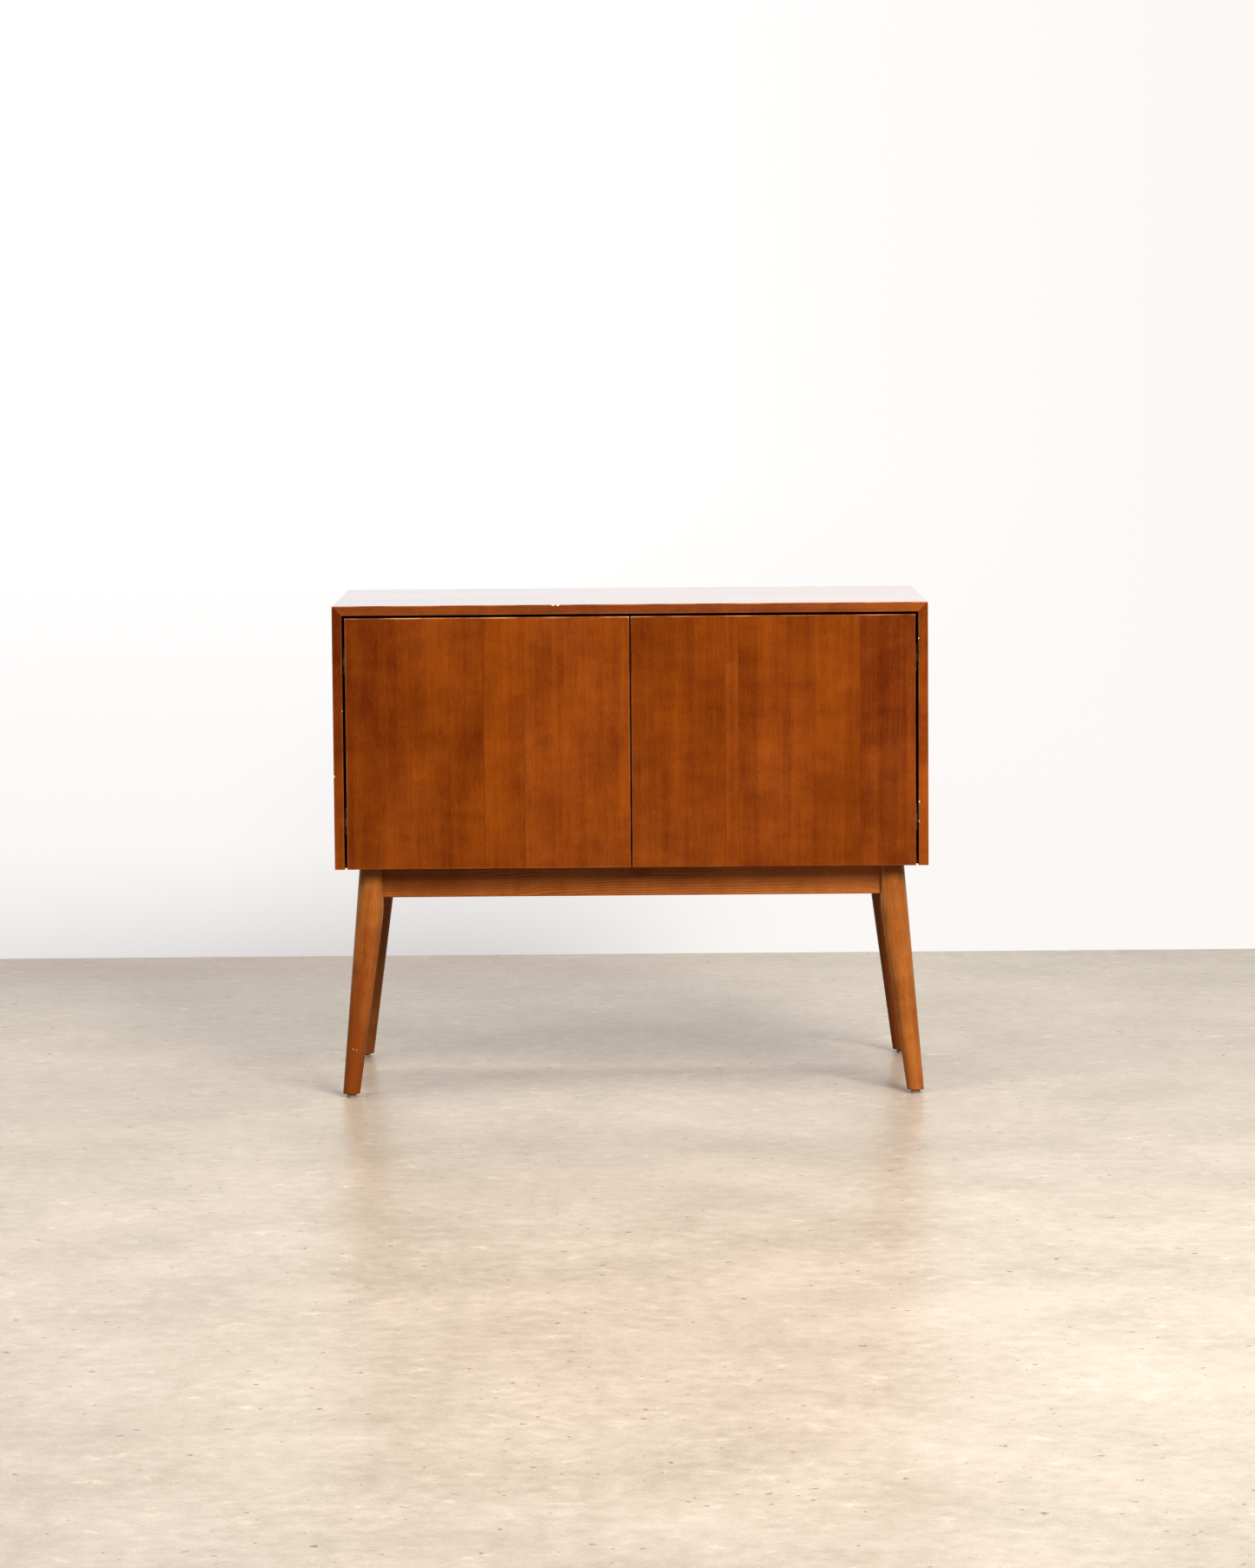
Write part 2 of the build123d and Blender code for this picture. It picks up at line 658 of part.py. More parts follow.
def add_interior():
    nodes["shelf"] = shelf()
    pins = [shelf_pin(y) for y in (pin_row_front, pin_row_rear)]
    nodes["shelf_pins"] = group(pins + [flip_x(pin) for pin in pins])
    nodes["catch_housings"] = group([catch_housing(), flip_x(catch_housing())])
    nodes["catch_magnets"] = group([catch_magnet(), flip_x(catch_magnet())])
    nodes["catch_screws"] = group(catch_screws())
    nodes["door_bumpers"] = group([door_bumper(x) for x in (-395.0, -180.0, 180.0, 395.0)])


def add_base():
    nodes["rear_rail"] = rail(-flat_x, flat_x, rail_inner_y, rail_y, Axis.X)
    nodes["front_rail"] = rail(-flat_x, flat_x, -rail_y, -rail_inner_y, Axis.X)
    nodes["right_end_rail"] = rail(rail_inner_x, rail_x, -flat_y, flat_y, Axis.Y)
    nodes["left_end_rail"] = rail(-rail_x, -rail_inner_x, -flat_y, flat_y, Axis.Y)
    nodes["corner_blocks"] = group(four_corners(corner_block()))
    nodes["corner_block_screws"] = group(all_block_screws())
    nodes["leg_hanger_bolts"] = group(four_corners(leg_bolt()))
    nodes["leg_bolt_nuts"] = group([copy for piece in leg_bolt_nut() for copy in four_corners(piece)])
    nodes["base_screws"] = group(base_screws())
    nodes["leveler_inserts"] = group(four_corners(leveler_insert()))
    corner_names = ("rear_right", "rear_left", "front_right", "front_left")
    pieces = zip(corner_names, four_corners(leg()), four_corners(leveler_pad()), four_corners(leveler_stud()))
    for name, leg_piece, pad, stud in pieces:
        nodes[name + "_leg"] = leg_piece
        nodes[name + "_leveler_pad"] = pad
        nodes[name + "_leveler_stud"] = stud


def add_doors():
    door = right_door()
    nodes["right_door"] = door
    nodes["left_door"] = flip_x(door)
    nodes["right_strike_plate"] = strike_plate()
    nodes["left_strike_plate"] = flip_x(strike_plate())
    screws = strike_screws() + [one for z in hinge_z for one in cup_screws(z)]
    nodes["right_door_screws"] = group(screws)
    nodes["left_door_screws"] = group([flip_x(one) for one in screws])


def add_hinges():
    builders = {"hinge_cup": hinge_cup, "hinge_pin": hinge_pin, "hinge_arm": hinge_arm,
                "mounting_plate": mounting_plate}
    for level, z in zip(("lower", "upper"), hinge_z):
        for kind, builder in builders.items():
            piece = builder(z)
            nodes[f"right_{level}_{kind}"] = piece
            nodes[f"left_{level}_{kind}"] = flip_x(piece)
    plates = plate_screws()
    nodes["mounting_plate_screws"] = group(plates + [flip_x(one) for one in plates])
    arms = [one for z in hinge_z for one in arm_screws(z)]
    nodes["hinge_arm_screws"] = group(arms + [flip_x(one) for one in arms])


def main():
    check_swing()
    add_case()
    add_interior()
    add_base()
    add_doors()
    add_hinges()
    os.makedirs("parts", exist_ok=True)
    for name, shape in nodes.items():
        export_step(shape, f"parts/{name}.step")
    print(len(nodes), "nodes")


main()
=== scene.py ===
import json
import math
import bpy
from mathutils import Euler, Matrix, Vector


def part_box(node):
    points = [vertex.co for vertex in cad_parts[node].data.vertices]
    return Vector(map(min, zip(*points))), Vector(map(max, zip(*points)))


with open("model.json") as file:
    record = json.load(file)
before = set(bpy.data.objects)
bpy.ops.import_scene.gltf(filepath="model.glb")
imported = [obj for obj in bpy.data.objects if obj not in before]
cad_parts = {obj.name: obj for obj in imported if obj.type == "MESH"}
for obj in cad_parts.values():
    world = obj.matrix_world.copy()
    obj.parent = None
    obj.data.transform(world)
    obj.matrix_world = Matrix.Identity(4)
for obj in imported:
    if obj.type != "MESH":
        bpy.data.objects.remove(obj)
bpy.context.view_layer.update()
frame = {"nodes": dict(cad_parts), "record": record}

scene = bpy.context.scene
nodes = frame["nodes"]


# ---- node helpers ------------------------------------------------------------------------
def srgb(red, green, blue):
    """A colour written as 0-255 display values, in linear light."""
    levels = [value / 255 for value in (red, green, blue)]
    return tuple(v / 12.92 if v < 0.04045 else ((v + 0.055) / 1.055) ** 2.4 for v in levels) + (1.0,)


class Tree:
    """Short calls for building a material's node tree."""

    def __init__(self, name):
        self.material = bpy.data.materials.new(name)
        self.material.use_nodes = True
        self.nodes = self.material.node_tree.nodes
        self.links = self.material.node_tree.links
        self.shader = self.nodes["Principled BSDF"]

    def add(self, kind, **settings):
        node = self.nodes.new(kind)
        for key, value in settings.items():
            setattr(node, key, value)
        return node

    def feed(self, socket, value):
        """Link a socket, or set its value."""
        if isinstance(value, bpy.types.NodeSocket):
            self.links.new(value, socket)
        else:
            socket.default_value = value

    def place(self):
        """The point on the part at rest, in metres."""
        return self.add("ShaderNodeTexCoord").outputs["Object"]

    def turned(self, vector, turn, offset=(0, 0, 0)):
        mapping = self.add("ShaderNodeMapping")
        self.feed(mapping.inputs["Vector"], vector)
        mapping.inputs["Rotation"].default_value = turn
        mapping.inputs["Location"].default_value = offset
        return mapping.outputs["Vector"]

    def scaled(self, vector, factors):
        node = self.add("ShaderNodeVectorMath", operation="MULTIPLY")
        self.feed(node.inputs[0], vector)
        node.inputs[1].default_value = factors
        return node.outputs[0]

    def stretched(self, vector, across, along):
        """Scale a vector whose Z runs along the grain."""
        return self.scaled(vector, (across, across, along))

    def noise(self, vector, scale=1.0, detail=2.0, rough=0.5, distortion=0.0):
        node = self.add("ShaderNodeTexNoise")
        self.feed(node.inputs["Vector"], vector)
        node.inputs["Scale"].default_value = scale
        node.inputs["Detail"].default_value = detail
        node.inputs["Roughness"].default_value = rough
        node.inputs["Distortion"].default_value = distortion
        return node.outputs["Fac"]

    def ramp(self, value, low, high, out_low=0.0, out_high=1.0, smooth=False):
        node = self.add("ShaderNodeMapRange")
        if smooth:
            node.interpolation_type = "SMOOTHSTEP"
        self.feed(node.inputs["Value"], value)
        node.inputs["From Min"].default_value = low
        node.inputs["From Max"].default_value = high
        node.inputs["To Min"].default_value = out_low
        node.inputs["To Max"].default_value = out_high
        return node.outputs["Result"]

    def math(self, operation, a, b=0.0, c=0.0):
        node = self.add("ShaderNodeMath", operation=operation)
        for socket, value in zip(node.inputs, (a, b, c)):
            self.feed(socket, value)
        return node.outputs[0]

    def sum(self, base, *parts):
        """base plus each weight times its value's distance from one half."""
        total = base
        for value, weight in parts:
            centred = self.math("SUBTRACT", value, 0.5)
            total = self.math("MULTIPLY_ADD", centred, weight, total)
        return total

    def mix(self, factor, a, b, blend="MIX"):
        """Blend two colours.  A Mix node's colour sockets are found by number."""
        node = self.add("ShaderNodeMix", data_type="RGBA", blend_type=blend)
        self.feed(node.inputs["Factor"], factor)
        self.feed(node.inputs[6], a)
        self.feed(node.inputs[7], b)
        return node.outputs[2]

    def axes(self, vector):
        node = self.add("ShaderNodeSeparateXYZ")
        self.feed(node.inputs[0], vector)
        return node.outputs

    def distance(self, vector, point):
        node = self.add("ShaderNodeVectorMath", operation="DISTANCE")
        self.feed(node.inputs[0], vector)
        node.inputs[1].default_value = point
        return node.outputs["Value"]

    def bump(self, height, strength, distance):
        node = self.add("ShaderNodeBump")
        self.feed(node.inputs["Height"], height)
        node.inputs["Strength"].default_value = strength
        node.inputs["Distance"].default_value = distance
        self.links.new(node.outputs["Normal"], self.shader.inputs["Normal"])


# ---- wood ----------------------------------------------------------------------------------
# Turns that bring a board's grain, named by its axis, onto Z.
GRAIN = {"x": (0, math.radians(-90), 0), "y": (math.radians(90), 0, 0), "z": (0, 0, 0)}

# Stained cherry: (dark, light) in its orange and its red places, then on the legs and the rails.
ORANGE = (srgb(100, 41, 0), srgb(154, 86, 12))
RED = (srgb(101, 42, 2), srgb(161, 91, 30))
LEG_TONES = (srgb(139, 79, 28), srgb(193, 134, 73))
RAIL_TONES = (srgb(140, 79, 27), srgb(191, 127, 71))

# Wood that shows where the stain is rubbed thin, which along top edges is also a painted highlight, and
# where it is chipped off.
WORN_AND_HIGHLIGHT = srgb(226, 176, 130)
# This colour also paints the hinge glints on the right side panel.
CHIP_AND_GLINT_PALE = srgb(226, 200, 164)

# Lengths in metres.
RING_PITCH = 0.0042
LEAF_EDGE = 0.0005           # half width of the step between two veneer leaves
JOINT_FAINT = 0.0011         # a leaf joint's dark line starts this far from the joint
JOINT_FULL = 0.0003
RUB_FAINT = 0.0022           # an edge's rub starts this far in from the edge
RUB_FULL = 0.0010
# Near a board's top the pale edge grows stronger, as a painted highlight on the top arris.
TOP_EDGE_FAINT = 0.004       # below a board's top, where its rub grows stronger
TOP_EDGE_FULL = 0.002

KNOT_SQUEEZE = 0.45          # X is squeezed by this inside a knot, so that it lies long


def edge_distance(tree, place, box):
    """Distance along a board's face to its nearest long edge."""
    gaps = []
    for value, low, high in zip(tree.axes(place), *box):
        from_low = tree.math("ABSOLUTE", tree.math("SUBTRACT", value, low))
        from_high = tree.math("ABSOLUTE", tree.math("SUBTRACT", value, high))
        gaps.append(tree.math("MINIMUM", from_low, from_high))
    nearer = tree.math("MINIMUM", gaps[0], gaps[1])
    further = tree.math("MAXIMUM", gaps[0], gaps[1])
    return tree.math("MAXIMUM", nearer, tree.math("MINIMUM", further, gaps[2]))


def leaf_steps(tree, place, leaves):
    """Tone, redness and grain offset of the veneer leaf at a point, and how near its joints are.

    leaves lists (joint's x, tone step, redness step, grain offset)."""
    across = tree.axes(place)[0]
    tone, red, shift, joint = 0.0, 0.0, 0.0, 0.0
    for edge, tone_step, red_step, shift_step in leaves:
        beyond = tree.ramp(across, edge - LEAF_EDGE, edge + LEAF_EDGE)
        tone = tree.math("MULTIPLY_ADD", beyond, tone_step, tone)
        red = tree.math("MULTIPLY_ADD", beyond, red_step, red)
        shift = tree.math("MULTIPLY_ADD", beyond, shift_step, shift)
        off = tree.math("ABSOLUTE", tree.math("SUBTRACT", across, edge))
        joint = tree.math("MAXIMUM", joint, tree.ramp(off, JOINT_FAINT, JOINT_FULL))
    return tone, red, shift, joint


def spread(tree, vector, amount):
    """Move a point by the same amount along all three axes."""
    step = tree.add("ShaderNodeCombineXYZ")
    for socket in step.inputs:
        tree.feed(socket, amount)
    moved = tree.add("ShaderNodeVectorMath", operation="ADD")
    tree.feed(moved.inputs[0], vector)
    tree.feed(moved.inputs[1], step.outputs[0])
    return moved.outputs[0]


def growth_rings(tree, turned):
    """0 on narrow dark lines along the grain and 1 between them, drifting as a sawn board's rings do."""
    across = tree.axes(turned)
    drift = tree.noise(tree.stretched(turned, 9, 2.2), detail=2.0, distortion=0.6)
    waver = tree.noise(tree.stretched(turned, 70, 5), detail=3.0)
    place = tree.math("MULTIPLY_ADD", drift, 0.045, tree.math("ADD", across[0], across[1]))
    place = tree.math("MULTIPLY_ADD", waver, 0.006, place)
    wave = tree.ramp(tree.math("SINE", tree.math("MULTIPLY", place, 2 * math.pi / RING_PITCH)), -1.0, 1.0)
    return tree.math("SUBTRACT", 1.0, tree.math("POWER", wave, 3.0))


def rub_edges_and_highlight(tree, place, box, colour, wear_and_highlight):
    """Rub the stain thin along the edges of a board's faces, most of all along its top, where the pale edge
    is also a painted highlight.
    """
    uneven = tree.noise(place, scale=16, detail=4.0)
    rub_and_highlight = tree.ramp(edge_distance(tree, place, box), RUB_FAINT, RUB_FULL)
    rub_and_highlight = tree.math("MULTIPLY", rub_and_highlight, tree.ramp(uneven, 0.42, 0.62, 0.1, 1.0))
    top = box[1][2]
    # Painted highlight: the pale edge is strongest along the top, where light catches the arris.
    top_rub_and_highlight = tree.ramp(tree.axes(place)[2], top - TOP_EDGE_FAINT, top - TOP_EDGE_FULL, 0.4, 1.9)
    rub_and_highlight = tree.math("MULTIPLY", rub_and_highlight, top_rub_and_highlight)
    return tree.mix(tree.math("MULTIPLY", rub_and_highlight, wear_and_highlight), colour, WORN_AND_HIGHLIGHT)


def add_pale_marks(tree, place, colour, pale_marks):
    """Ragged pale marks: chipped spots, scratches and painted glints.  pale_marks lists (centre, size)."""
    for point, size in pale_marks:
        ragged = tree.noise(place, scale=700, detail=2.0)
        reach = tree.math("MULTIPLY_ADD", ragged, size * 0.8, tree.distance(place, point))
        colour = tree.mix(tree.ramp(reach, size * 1.45, size * 1.25), colour, CHIP_AND_GLINT_PALE)
    return colour


def add_rings(tree, turned, value, rings):
    """Darken the growth rings, more in some patches than in others."""
    patchy = tree.ramp(tree.noise(tree.stretched(turned, 12, 2.5), detail=1.0), 0.35, 0.65, 0.15, 1.0)
    ring = tree.math("SUBTRACT", growth_rings(tree, turned), 0.7)
    return tree.math("MULTIPLY_ADD", ring, tree.math("MULTIPLY", patchy, rings), value)


def add_fade(tree, place, box, value, fade):
    """Change the tone evenly from one end of a board to the other."""
    axis, low_tone, high_tone = fade
    shade = tree.ramp(tree.axes(place)[axis], box[0][axis], box[1][axis], low_tone, high_tone)
    return tree.math("ADD", value, shade)


def stained_wood(name, box, grain="z", turn=None, seed=0.0, red=0.5, leaves=(), pale_marks=(), knot=None,
                 rings=0.0, wear_and_highlight=0.35, tones=None, gloss=0.38, coat=0.05, relief=0.12, fade=None):
    """Stained and lacquered cherry.

    grain is the grain's axis, or turn the rotation that brings it onto Z.  red is how much of the
    wood is red.  fade is (axis, tone at its low end, tone at its high end)."""
    tree = Tree(name)
    place = tree.place()
    turned = tree.turned(place, turn or GRAIN[grain], (seed, seed * 1.7, seed * 2.3))
    leaf_tone, leaf_red = 0.0, 0.0
    if leaves:
        leaf_tone, leaf_red, shift, joint = leaf_steps(tree, place, leaves)
        leaf_tone = tree.math("MULTIPLY_ADD", joint, -0.16, leaf_tone)
        turned = spread(tree, turned, shift)

    bands = tree.noise(tree.stretched(turned, 13, 0.9), detail=3.0)
    clouds = tree.noise(tree.stretched(turned, 12, 10), detail=2.0)
    ripple = tree.noise(tree.stretched(turned, 26, 46), detail=1.5)
    fibres = tree.noise(tree.stretched(turned, 420, 22), detail=4.0, rough=0.65)
    lines = tree.noise(tree.stretched(turned, 75, 1.6), detail=3.0, rough=0.6, distortion=0.4)
    flecks = tree.noise(tree.stretched(turned, 330, 170), detail=3.0, rough=0.75)
    pores = tree.ramp(tree.noise(tree.stretched(turned, 900, 60), detail=1.0), 0.62, 0.72)

    value = tree.sum(0.46, (bands, 1.2), (clouds, 0.75), (ripple, 0.4), (fibres, 0.5), (lines, 0.6),
                     (flecks, 0.55))
    value = tree.math("ADD", value, leaf_tone)
    value = tree.math("MULTIPLY_ADD", pores, -0.12, value)
    if rings:
        value = add_rings(tree, turned, value, rings)
    if fade:
        value = add_fade(tree, place, box, value, fade)
    if knot:
        value = add_knot(tree, place, value, knot)
    hue = tree.noise(tree.stretched(turned, 6, 3), detail=1.0)
    hue = tree.math("ADD", tree.ramp(hue, 0.7 - red * 0.5, 1.0 - red * 0.5), leaf_red)
    if tones:
        colour = tree.mix(tree.math("MULTIPLY", hue, 0.25), tree.mix(value, *tones), tree.mix(value, *RED))
    else:
        colour = tree.mix(hue, tree.mix(value, *ORANGE), tree.mix(value, *RED))
    if wear_and_highlight:
        colour = rub_edges_and_highlight(tree, place, box, colour, wear_and_highlight)
    colour = add_pale_marks(tree, place, colour, pale_marks)

    shader = tree.shader
    tree.feed(shader.inputs["Base Color"], colour)
    tree.feed(shader.inputs["Roughness"], tree.sum(gloss, (clouds, 0.16), (fibres, relief)))
    shader.inputs["Specular IOR Level"].default_value = 0.12
    shader.inputs["Coat Weight"].default_value = coat
    shader.inputs["Coat Roughness"].default_value = 0.15
    if relief:
        tree.bump(tree.sum(0.5, (fibres, 1.0), (pores, -0.6)), relief, 0.0002)
    return tree.material


def add_knot(tree, place, value, knot):
    """A dark knot, longer than it is high, with the grain swirling round it."""
    (x, y, z), radius = knot
    squeezed = tree.scaled(place, (KNOT_SQUEEZE, 1.0, 1.0))
    off = tree.distance(squeezed, (x * KNOT_SQUEEZE, y, z))
    off = tree.math("MULTIPLY_ADD", tree.noise(place, scale=90, detail=3.0), radius * 1.2, off)
    rings = tree.math("SINE", tree.math("MULTIPLY", off, 2600.0))
    near = tree.ramp(off, radius * 3.6, radius * 1.2, 0.0, 0.14)
    value = tree.math("MULTIPLY_ADD", rings, near, value)
    return tree.math("SUBTRACT", value, tree.ramp(off, radius * 1.9, radius * 0.6, 0.0, 0.55, smooth=True))


def plain_wood(name, grain, dark, light, rough, seed=0.0):
    """Unlacquered timber or plywood: its grain and pores, with no gloss."""
    tree = Tree(name)
    turned = tree.turned(tree.place(), GRAIN[grain], (seed, seed, seed))
    bands = tree.noise(tree.stretched(turned, 18, 1.2), detail=3.0)
    lines = tree.noise(tree.stretched(turned, 110, 3), detail=3.0, distortion=0.5)
    fibres = tree.noise(tree.stretched(turned, 420, 14), detail=3.0)
    pores = tree.ramp(tree.noise(tree.stretched(turned, 800, 50), detail=1.0), 0.6, 0.7)
    value = tree.sum(0.5, (bands, 1.3), (lines, 1.0), (fibres, 0.7))
    value = tree.math("MULTIPLY_ADD", pores, -0.25, value)
    tree.feed(tree.shader.inputs["Base Color"], tree.mix(value, dark, light))
    tree.feed(tree.shader.inputs["Roughness"], tree.sum(rough, (fibres, 0.2)))
    tree.shader.inputs["Specular IOR Level"].default_value = 0.2
    tree.bump(tree.sum(0.5, (fibres, 1.0), (pores, -0.8)), 0.3, 0.0004)
    return tree.material


# ---- metal and plastic ---------------------------------------------------------------------
def plated_steel(name, dark, light, rough):
    """Plated pressings and screws: fine tool marks under a slightly cloudy plating."""
    tree = Tree(name)
    place = tree.place()
    clouds = tree.noise(place, scale=90, detail=3.0)
    marks = tree.noise(tree.stretched(place, 1500, 120), detail=2.0)
    value = tree.sum(0.5, (clouds, 1.6), (marks, 0.6))
    tree.feed(tree.shader.inputs["Base Color"], tree.mix(value, dark, light))
    tree.feed(tree.shader.inputs["Roughness"], tree.sum(rough, (clouds, 0.25), (marks, 0.2)))
    tree.shader.inputs["Metallic"].default_value = 1.0
    tree.bump(marks, 0.1, 0.0001)
    return tree.material


def moulded_plastic(name, dark, light, rough, grain=2200, soft=0.0):
    """Moulded plastic with a fine spark-eroded texture and slight flow marks."""
    tree = Tree(name)
    place = tree.place()
    flow = tree.noise(place, scale=60, detail=2.0, distortion=0.6)
    texture = tree.noise(place, scale=grain, detail=2.0)
    value = tree.sum(0.5, (flow, 1.4), (texture, 0.6))
    tree.feed(tree.shader.inputs["Base Color"], tree.mix(value, dark, light))
    tree.feed(tree.shader.inputs["Roughness"], tree.sum(rough, (flow, 0.15), (texture, 0.15)))
    tree.shader.inputs["Specular IOR Level"].default_value = 0.35
    tree.shader.inputs["Subsurface Weight"].default_value = soft
    tree.shader.inputs["Subsurface Scale"].default_value = 0.002
    tree.bump(texture, 0.25, 0.0001)
    return tree.material


# ---- finishes, piece by piece ---------------------------------------------------------------
def finish(name, material):
    """Give every slot of a piece one material."""
    for slot in nodes[name].material_slots:
        slot.material = material


def finish_case():
    """The case boards, with chipped spots along their front edges and painted hinge glints on the right
    side panel's inner front edge.
    """
    low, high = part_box("top_panel")
    front, top = low[1], high[2]
    left_low, left_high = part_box("left_side_panel")
    right_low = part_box("right_side_panel")[0]
    top_chips = [((-0.1175, front, top), 0.0023), ((-0.1103, front, top), 0.0027)]
    left_chips = [((left_low[0], front, 0.500), 0.0020), ((left_high[0], front, 0.601), 0.0013)]
    # Painted glints: pale marks on the right side panel's inner front edge, where the hinges glint through
    # the door gap.
    right_painted_glints = [((right_low[0], front, 0.706), 0.0014), ((right_low[0], front, 0.454), 0.0022),
                   ((right_low[0], front, 0.424), 0.0017)]
    # Fades: the top panel grows lighter to the right, a painted light gradient; the left side panel is
    # lighter at its foot and darker at its top, the right one a little lighter at its foot.
    boards = [("top_panel", "x", top_chips, (0, -0.1, 0.35)),
              ("left_side_panel", "z", left_chips, (2, 0.25, -0.3)),
              ("right_side_panel", "z", right_painted_glints, (2, 0.05, 0.0)),
              ("bottom_panel", "x", (), None),
              ("shelf", "x", (), None)]
    for count, (name, grain, pale_marks, fade) in enumerate(boards):
        red = 0.95 if name == "right_side_panel" else 0.55
        coat, relief = (1.0, 0.0) if name == "top_panel" else (0.05, 0.12)
        finish(name, stained_wood(name + "_wood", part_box(name), grain, seed=1.0 + 3.1 * count, red=red,
                                  pale_marks=pale_marks, wear_and_highlight=0.18, gloss=0.32, coat=coat, relief=relief, fade=fade))


def finish_doors():
    """The doors, each veneered in upright leaves of different widths."""
    left_leaves = [(-0.226, 0.10, 0.1, 0.9), (-0.164, 0.03, 0.2, 1.4)]
    right_leaves = [(0.146, 0.10, 0.0, 0.6), (0.166, -0.06, 0.1, 1.1), (0.353, -0.06, 0.4, 1.9)]
    doors = [("left_door", left_leaves, 21.0, 0.38), ("right_door", right_leaves, 34.5, 0.25)]
    for name, leaves, seed, wear_and_highlight in doors:
        finish(name, stained_wood(name + "_veneer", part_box(name), "z", seed=seed, leaves=leaves, red=0.45,
                                  wear_and_highlight=wear_and_highlight, gloss=0.34))


def finish_rails():
    """The apron rails, with a knot in the front one."""
    low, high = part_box("front_rail")
    knot = ((0.014, low[1], low[2] * 0.25 + high[2] * 0.75), 0.009)
    level = (2, 0.0, 0.0)
    # Painted light: the rails grow lighter to the right, where the light is stronger.
    painted_light_to_right = (0, -0.3, 0.1)
    rails = [("front_rail", "x", knot, painted_light_to_right), ("rear_rail", "x", None, painted_light_to_right),
             ("left_end_rail", "y", None, level), ("right_end_rail", "y", None, level)]
    for count, (name, grain, mark, fade) in enumerate(rails):
        finish(name, stained_wood(name + "_wood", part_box(name), grain, seed=50.0 + 2.7 * count, knot=mark,
                                  rings=0.42, red=0.5, wear_and_highlight=0.2, gloss=0.4, tones=RAIL_TONES, fade=fade))


LEG_SPLAY = 0.11             # a leg's slope, sideways and along the depth


def finish_legs():
    """The legs, with the grain along each leaning leg and a scratch on the front left one.  The rear legs
    are darkened as painted shade under the case.
    """
    scratch = [((-0.4335, -0.2222, 0.0755), 0.0012), ((-0.4280, -0.2226, 0.0744), 0.0010)]
    # Fades: the front left leg darkens towards its foot and the front right lightens towards its top; the
    # rear legs' fades darken them, painted shade under the case.
    legs = [("front_left_leg", -1, -1, scratch, (2, -0.5, 0.0)),
            ("front_right_leg", 1, -1, (), (2, 0.0, 0.2)),
            ("rear_left_leg", -1, 1, (), (2, -0.2, -0.3)),
            ("rear_right_leg", 1, 1, (), (2, -0.6, -0.6))]
    for count, (name, side_x, side_y, pale_marks, fade) in enumerate(legs):
        lean_x = math.atan(-side_x * LEG_SPLAY)
        lean_y = math.atan(-side_y * LEG_SPLAY)
        turn = (lean_y, -lean_x, 0)
        finish(name, stained_wood(name + "_wood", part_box(name), turn=turn, seed=70.0 + 3.3 * count,
                                  pale_marks=pale_marks, rings=0.12, tones=LEG_TONES, fade=fade, wear_and_highlight=0.0))


def finish_fittings():
    """Everything else, by the material that the record names for it."""
    nickel = plated_steel("nickel_plate", srgb(186, 183, 177), srgb(220, 217, 211), 0.36)
    zinc = plated_steel("zinc_plate", srgb(150, 146, 132), srgb(196, 192, 176), 0.38)
    brown = moulded_plastic("brown_plastic", srgb(70, 44, 28), srgb(92, 60, 40), 0.5)
    clear = moulded_plastic("bumper_plastic", srgb(200, 200, 194), srgb(226, 226, 220), 0.35, soft=0.4)
    nylon = moulded_plastic("leveler_nylon", srgb(206, 182, 168), srgb(236, 216, 202), 0.5)
    ferrite = moulded_plastic("ferrite_magnet", srgb(36, 36, 40), srgb(62, 62, 66), 0.55, grain=900)
    bare = plain_wood("bare_beech", "y", srgb(172, 128, 84), srgb(222, 186, 138), 0.6)
    board = plain_wood("back_plywood", "z", srgb(128, 74, 38), srgb(176, 116, 68), 0.7, seed=9.0)
    by_slot = {"nickel_steel": nickel, "screw_steel": zinc, "catch_plastic": brown, "bumper_plastic": clear,
               "leveler_plastic": nylon, "magnet": ferrite, "raw_wood": bare, "back_board": board}
    for piece in frame["record"]["subparts"]:
        if piece["material_slot"] in by_slot:
            finish(piece["node"], by_slot[piece["material_slot"]])


# ---- stage: camera, light, wall, floor -----------------------------------------------------
WALL_Y = 1.51
CAMERA_PLACE = (0.005, -8.007, 1.2137)
CAMERA_DOWN = 5.353          # degrees below level
CAMERA_ROLL = 0.466
CAMERA_TURN = 0.034
FOCAL_LENGTH = 116.6         # millimetres, on a 36 mm sensor
GAMMA = 0.78                 # deepens the contrast of the whole picture


def make_camera():
    data = bpy.data.cameras.new("camera")
    data.lens = FOCAL_LENGTH
    data.sensor_width = 36.0
    data.clip_end = 60.0
    camera = bpy.data.objects.new("camera", data)
    camera.location = CAMERA_PLACE
    angles = [math.radians(angle) for angle in (90.0 - CAMERA_DOWN, CAMERA_ROLL, CAMERA_TURN)]
    camera.rotation_euler = Euler(angles, "XYZ")
    scene.collection.objects.link(camera)
    scene.camera = camera


def area_light(name, place, target, size, power, colour, spread=180):
    """A rectangular light aimed at a target.  spread is in degrees."""
    data = bpy.data.lights.new(name, "AREA")
    data.shape = "RECTANGLE"
    data.size, data.size_y = size
    data.energy = power
    data.color = colour
    data.spread = math.radians(spread)
    lamp = bpy.data.objects.new(name, data)
    lamp.location = place
    lamp.rotation_euler = (Vector(target) - Vector(place)).to_track_quat("-Z", "Y").to_euler()
    scene.collection.objects.link(lamp)


